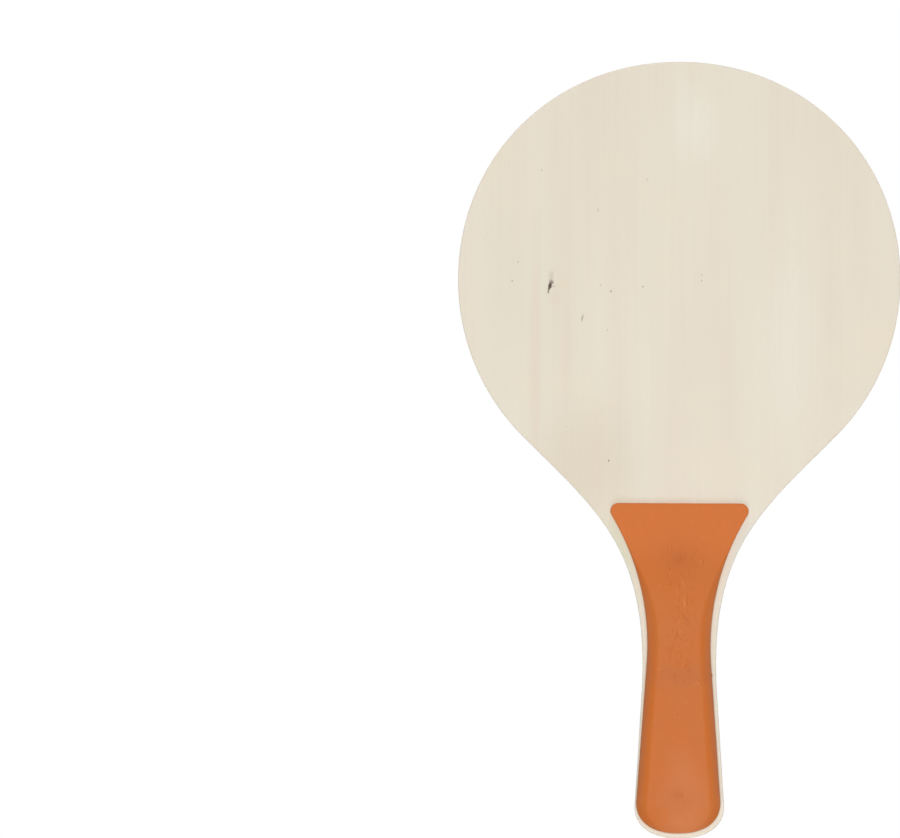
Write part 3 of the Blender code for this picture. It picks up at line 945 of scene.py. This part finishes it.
def paint_material(name, marks, creases, pale_spots, seed):
    """Orange paint on wood: curled pores, creases, paler spots and dull marks, with painted shade on
    the flanks and in the pores, painted highlights beside the pores and on the heel, and painted light
    on the ramp.
    """
    made, surface, place = start_material(name)
    cloud = noise(place, (0.10, 0.10, 0.06), seed, 3.0)
    streaks = noise(place, (1.3, 1.3, 0.07), seed + 5.0, 3.0)
    orange_peel = noise(place, (1.5, 1.5, 1.1), seed + 8.0, 2.0)
    mottle = noise(place, (0.40, 0.40, 0.32), seed + 31.0, 2.0)

    middle = deepest([patch(place, *WRINKLED_HANDLE), patch(place, *WRINKLED_RAMP) * 0.5])
    middle = rise(middle, 0.05, 0.5)
    wrinkles_and_shade = wrinkle_lines(place, seed + 12.0) * middle
    # A copy of the wrinkle lines shifted aside, for the painted highlight on each crest
    crest_highlights = wrinkle_lines(vector(place, "ADD", CREST_HIGHLIGHT_SHIFT), seed + 12.0) * middle

    height = coordinate(place, "Z")
    from_middle = abs(coordinate(place, "Y"))
    coat = blend(rise(cloud, 0.3, 0.7), tint(*ORANGE), tint(*CLOUDED_ORANGE))
    # Partly painted light: the ramp's orange is lighter where the ramp faces upwards
    coat = blend(rise(height, *RAMP_STARTS), coat, tint(*RAMP_LIT_ORANGE))
    # A painted highlight on the heel's dome
    coat = blend(patch(place, *HEEL_HIGHLIGHT), coat, tint(*HEEL_HIGHLIGHT_ORANGE))
    dulled = strongest_of(place, DULL_AREAS)
    coat = blend(dulled * (0.7 + 0.6 * cloud), coat, tint(*DULL_ORANGE))
    darkest = strongest_of(stirred(place, 0.5, 1.4, seed + 21.0), marks)
    coat = blend(darkest, coat, tint(*MARK_BROWN))
    torn = stirred(place, 1.1, 0.5, seed + 27.0)
    coat = blend(strongest_of(torn, pale_spots), coat, tint(*PALE_SPOT_ORANGE))
    creased = strongest_of(torn, creases)
    coat = blend(creased, coat, tint(*CREASE_BROWN))
    thin = 1 - rise(from_middle, *THIN_ENDS)
    coat = blend(thin * (0.35 + 0.4 * cloud), coat, tint(*THIN_ORANGE))
    # Painted shade on the rounded flanks, from above the heel to above the waist
    flank_shade_span = rise(height, *FLANK_SHADE_RISES) * (1 - rise(height, *FLANK_SHADE_FADES))
    flank_shade = (1 - rise(from_middle, *FLANK_SHADE_REACH)) * flank_shade_span
    light = 0.99 + 0.03 * (streaks - 0.5) + 0.04 * (orange_peel - 0.5) + 0.05 * (mottle - 0.5)
    # Painted shade on the rounded flanks and in the wrinkle lines, and a painted highlight on each
    # crest beside them
    light = light - 0.15 * flank_shade - 0.09 * wrinkles_and_shade + 0.06 * crest_highlights
    link(surface, Base_Color=shade(coat, light))
    link(surface, Roughness=0.44 + 0.08 * streaks + 0.12 * darkest)
    skin = orange_peel * 0.5 + streaks * 0.5 - wrinkles_and_shade - creased
    link(surface, Normal=relief(skin, PAINT_RELIEF))
    surface.inputs["Specular IOR Level"].default_value = PAINT_SHEEN
    return made


# A burr of paint stands on the front scale's right-hand edge, just below the waist
BURR_PLACE = (13.55 * MM, 1.2 * MM, -4.3 * MM)
BURR_SIZE = (0.75 * MM, 0.8 * MM, 1.0 * MM)
BURR_MESH = {"segments": 20, "ring_count": 12}


def add_burr(block, seat, outward):
    """Joins a small lump to a block, to be taken up in its painted surface."""
    deselect()
    x, above_seat, z = BURR_PLACE
    place = (x, seat + outward * above_seat, z)
    bpy.ops.mesh.primitive_uv_sphere_add(location=place, scale=BURR_SIZE, **BURR_MESH)
    block.select_set(True)
    bpy.context.view_layer.objects.active = block
    bpy.ops.object.join()


def paint_over(block, seat, outward):
    """Gives a sawn block the soft skin that paint leaves, and cuts its glued face flat again."""
    apply_modifier(block, "REMESH", mode="VOXEL", voxel_size=PAINT_VOXEL)
    apply_modifier(block, "SMOOTH", **PAINT_SOFTENING)
    flow = bpy.data.textures.new("paint_flow", "CLOUDS")
    flow.noise_scale = PAINT_WAVE_LENGTH
    waves = {"texture": flow, "texture_coords": "LOCAL", "strength": -PAINT_WAVE, "mid_level": 0}
    apply_modifier(block, "DISPLACE", **waves)
    edit(block)
    seat_plane = {"plane_co": (0, seat, 0), "plane_no": (0, outward, 0), "threshold": EXACT}
    bpy.ops.mesh.bisect(use_fill=True, clear_inner=True, **seat_plane)
    end_edit()


# The dull marks, as (drift from the brad along X and Z, half width, half height, strength), and
# each side's paint detail, as its creases, its paler spots and the seed of its random texture
MARKS = {"upper": (-0.3, -1.2, 4.8, 4.4, 0.31), "lower": (-0.5, -0.6, 4.4, 2.9, 0.29)}
PAINT_DETAILS = {"front": (FRONT_CREASES, FRONT_PALE_SPOTS, 2.0), "back": (BACK_CREASES, BACK_PALE_SPOTS, 42.0)}
paints = {}
scales = {}
for side, outward in OUTWARD.items():
    low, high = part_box(f"grip_scale_{side}")
    seat = high.y if outward < 0 else low.y
    block = copy_of(scale_blanks[side], f"grip_block_{side}")
    thicken(block, seat - outward * OVERCUT, seat + outward * (SCALE_THICKNESS + LAND_SANDING))
    route_rim(block, outward)
    cut_by(block, "INTERSECT", sawing_solid(seat, outward))
    if side == "front":
        add_burr(block, seat, outward)
    paint_over(block, seat, outward)
    marks = []
    for row, (drift_x, drift_z, wide, tall, strength) in MARKS.items():
        middle = sum(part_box(f"brad_{side}_{row}"), Vector()) / 2
        marks.append((middle.x / MM + drift_x, middle.z / MM + drift_z, wide, tall, strength))
    paints[side] = paint_material(f"orange_paint_{side}", marks, *PAINT_DETAILS[side])
    scales[side] = block

for spare in (blank, scale_blank, *scale_blanks.values()):
    bpy.data.objects.remove(spare)

# The brads are bright wire, headed and pointed. Two go through each scale into the blade
# before the paint, with their heads set below the surface, so that nothing of them shows.
BRAD_HEAD_RADIUS = 1.0 * MM
BRAD_HEAD_THICKNESS = 0.5 * MM
BRIGHT_STEEL = (172, 174, 178)
DARK_STEEL = (128, 130, 136)


def wire_material():
    """Drawn steel wire: bright, with fine lines along it from the die."""
    made, surface, place = start_material("drawn_wire")
    lines = noise(place, (9.0, 0.4, 9.0), 6.0)
    link(surface, Base_Color=blend(lines, tint(*BRIGHT_STEEL), tint(*DARK_STEEL)))
    link(surface, Roughness=0.26 + 0.2 * lines)
    surface.inputs["Metallic"].default_value = 1.0
    return made


wire = wire_material()
for side, row in BRADS:
    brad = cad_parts[f"brad_{side}_{row}"]
    brad.data.materials.clear()
    brad.data.materials.append(wire)

# Putty fills the cone-shaped hole over each sunk head. It is struck off flush and painted
# over with the scale, and shows only as a dull spot on the grip's centre line.
PUTTY_RADIUS = 2.2 * MM
BRAD_SET = 0.9 * MM
PUTTY_FIT = 0.01 * MM
CONE_SIDES = 48
CLEAN_CUT = {"solver": "MANIFOLD"}


def brad_top(side, row):
    """Where a brad's axis passes through the top of its head, as x, y and z."""
    low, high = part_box(f"brad_{side}_{row}")
    middle = (low + high) / 2
    top = low.y if OUTWARD[side] < 0 else high.y
    return middle.x, top, middle.z


def cone_over(side, row, clearance):
    """The cone over a brad's head, from its rim out past the surface of the scale."""
    outward = OUTWARD[side]
    x, top, z = brad_top(side, row)
    spread = (PUTTY_RADIUS - BRAD_HEAD_RADIUS) / BRAD_SET
    height = BRAD_SET + OVERCUT
    start = top + outward * (BORE_CLEARANCE - clearance)
    deselect()
    bpy.ops.mesh.primitive_cone_add(
        vertices=CONE_SIDES,
        radius1=BRAD_HEAD_RADIUS + clearance,
        radius2=BRAD_HEAD_RADIUS + clearance + spread * height,
        depth=height,
        location=(x, start + outward * height / 2, z),
        rotation=(-outward * math.pi / 2, 0, 0),
    )
    return bpy.context.object


def head_pocket(side, row):
    """The pocket that a brad's head is driven into, a clearance larger all round than the head."""
    x, top, z = brad_top(side, row)
    middle = (x, top - OUTWARD[side] * BRAD_HEAD_THICKNESS / 2, z)
    length = BRAD_HEAD_THICKNESS + 2 * BORE_CLEARANCE
    return round_bar(BRAD_HEAD_RADIUS + BORE_CLEARANCE, length, middle, CONE_SIDES)


for side, scale in scales.items():
    for row in ("upper", "lower"):
        plug = copy_of(scale, f"putty_plug_{side}_{row}")
        cut_by(plug, "INTERSECT", cone_over(side, row, 0), **CLEAN_CUT)
        cut_by(scale, "DIFFERENCE", cone_over(side, row, PUTTY_FIT), **CLEAN_CUT)
        cut_by(scale, "DIFFERENCE", head_pocket(side, row), **CLEAN_CUT)
        dress(plug, paints[side], f"putty_{side}_{row}")
    for brad_side, row in BRADS:
        cut_by(scale, "DIFFERENCE", drill_for(brad_side, row), **CLEAN_CUT)
    dress(scale, paints[side], f"grip_scale_{side}")

# The bat stands on its butt on a pale floor in soft light from every side, seen square on.
# The floor takes the bat's shadow and throws none on it, as two of the lamps stand below it.
# The camera's frame is 900 by 838 pixels, and a pixel is 0.425 mm on the bat.
PIXEL = 0.425 * MM
FRAME_WIDTH = 900
FRAME_HEIGHT = 838
BAT_CENTRE_COLUMN = 679.3
BUTT_ROW = 838.3
CAMERA_DISTANCE = 2.0
FLOOR_SIZE = 12.0
FLOOR_WHITE = (243, 243, 242)
FLOOR_GREY = (239, 239, 238)
FLOOR_ROUGHNESS = 0.9
WHITE = (1, 1, 1, 1)
AMBIENT = 0.22

deselect()
bpy.ops.mesh.primitive_plane_add(size=FLOOR_SIZE, location=(0, 0, BUTT_END))
floor = bpy.context.object
floor.name = "floor"
floor_paper, floor_surface, floor_place = start_material("floor_paper")
paper = noise(floor_place, (0.02, 0.02, 0.02), 2.0)
link(floor_surface, Base_Color=blend(paper, tint(*FLOOR_WHITE), tint(*FLOOR_GREY)))
floor_surface.inputs["Roughness"].default_value = FLOOR_ROUGHNESS
floor.data.materials.append(floor_paper)
floor.visible_shadow = False
floor.visible_diffuse = False

# The world is white where it is seen, reflected or looked through, and dim as a light
world = bpy.data.worlds.new("studio")
bpy.context.scene.world = world
world.use_nodes = True
tree = world.node_tree
backing = tree.nodes["Background"]
light_path = tree.nodes.new("ShaderNodeLightPath")
rays = ("Is Camera Ray", "Is Glossy Ray", "Is Transmission Ray")
seen = deepest([Socket(tree, light_path.outputs[ray]) for ray in rays])
backing.inputs["Color"].default_value = WHITE
link(backing, Strength=seen * (1 - AMBIENT) + AMBIENT)

BAT_MIDDLE = (cad_low + cad_high) / 2

# The lamps, as (name, place, size, share of full light)
LAMPS = [
    ("front_light", (0.0, -2.3, -0.02), 0.6, 0.585),
    ("back_light", (0.0, 2.3, -0.02), 0.6, 0.585),
    ("left_light", (-1.7, 0.55, 0.3), 0.9, 0.24),
    ("right_light", (1.7, 0.55, 0.3), 0.9, 0.30),
    ("top_light", (0.0, -0.25, 1.75), 0.9, 0.42),
    ("under_light", (0.0, -0.9, -1.1), 0.9, 0.29),
    ("back_under_light", (0.0, 0.9, -1.1), 0.9, 0.26),
]


def softbox(name, place, size, share):
    """A square lamp turned to the bat, that gives a surface facing it this share of full light."""
    away = Vector(place) - BAT_MIDDLE
    deselect()
    bpy.ops.object.light_add(type="AREA", location=place)
    lamp = bpy.context.object
    lamp.name = name
    lamp.data.size = size
    lamp.data.energy = share * (math.pi * away.length) ** 2
    lamp.rotation_euler = away.to_track_quat("Z", "Y").to_euler()


for lamp in LAMPS:
    softbox(*lamp)

bpy.ops.object.camera_add(
    location=(
        (FRAME_WIDTH / 2 - BAT_CENTRE_COLUMN) * PIXEL,
        -CAMERA_DISTANCE,
        BUTT_END + (BUTT_ROW - FRAME_HEIGHT / 2) * PIXEL,
    ),
    rotation=(math.pi / 2, 0, 0),
)
camera = bpy.context.object
camera.data.type = "ORTHO"
camera.data.ortho_scale = FRAME_WIDTH * PIXEL
bpy.context.scene.camera = camera
bpy.context.scene.view_settings.view_transform = "Standard"
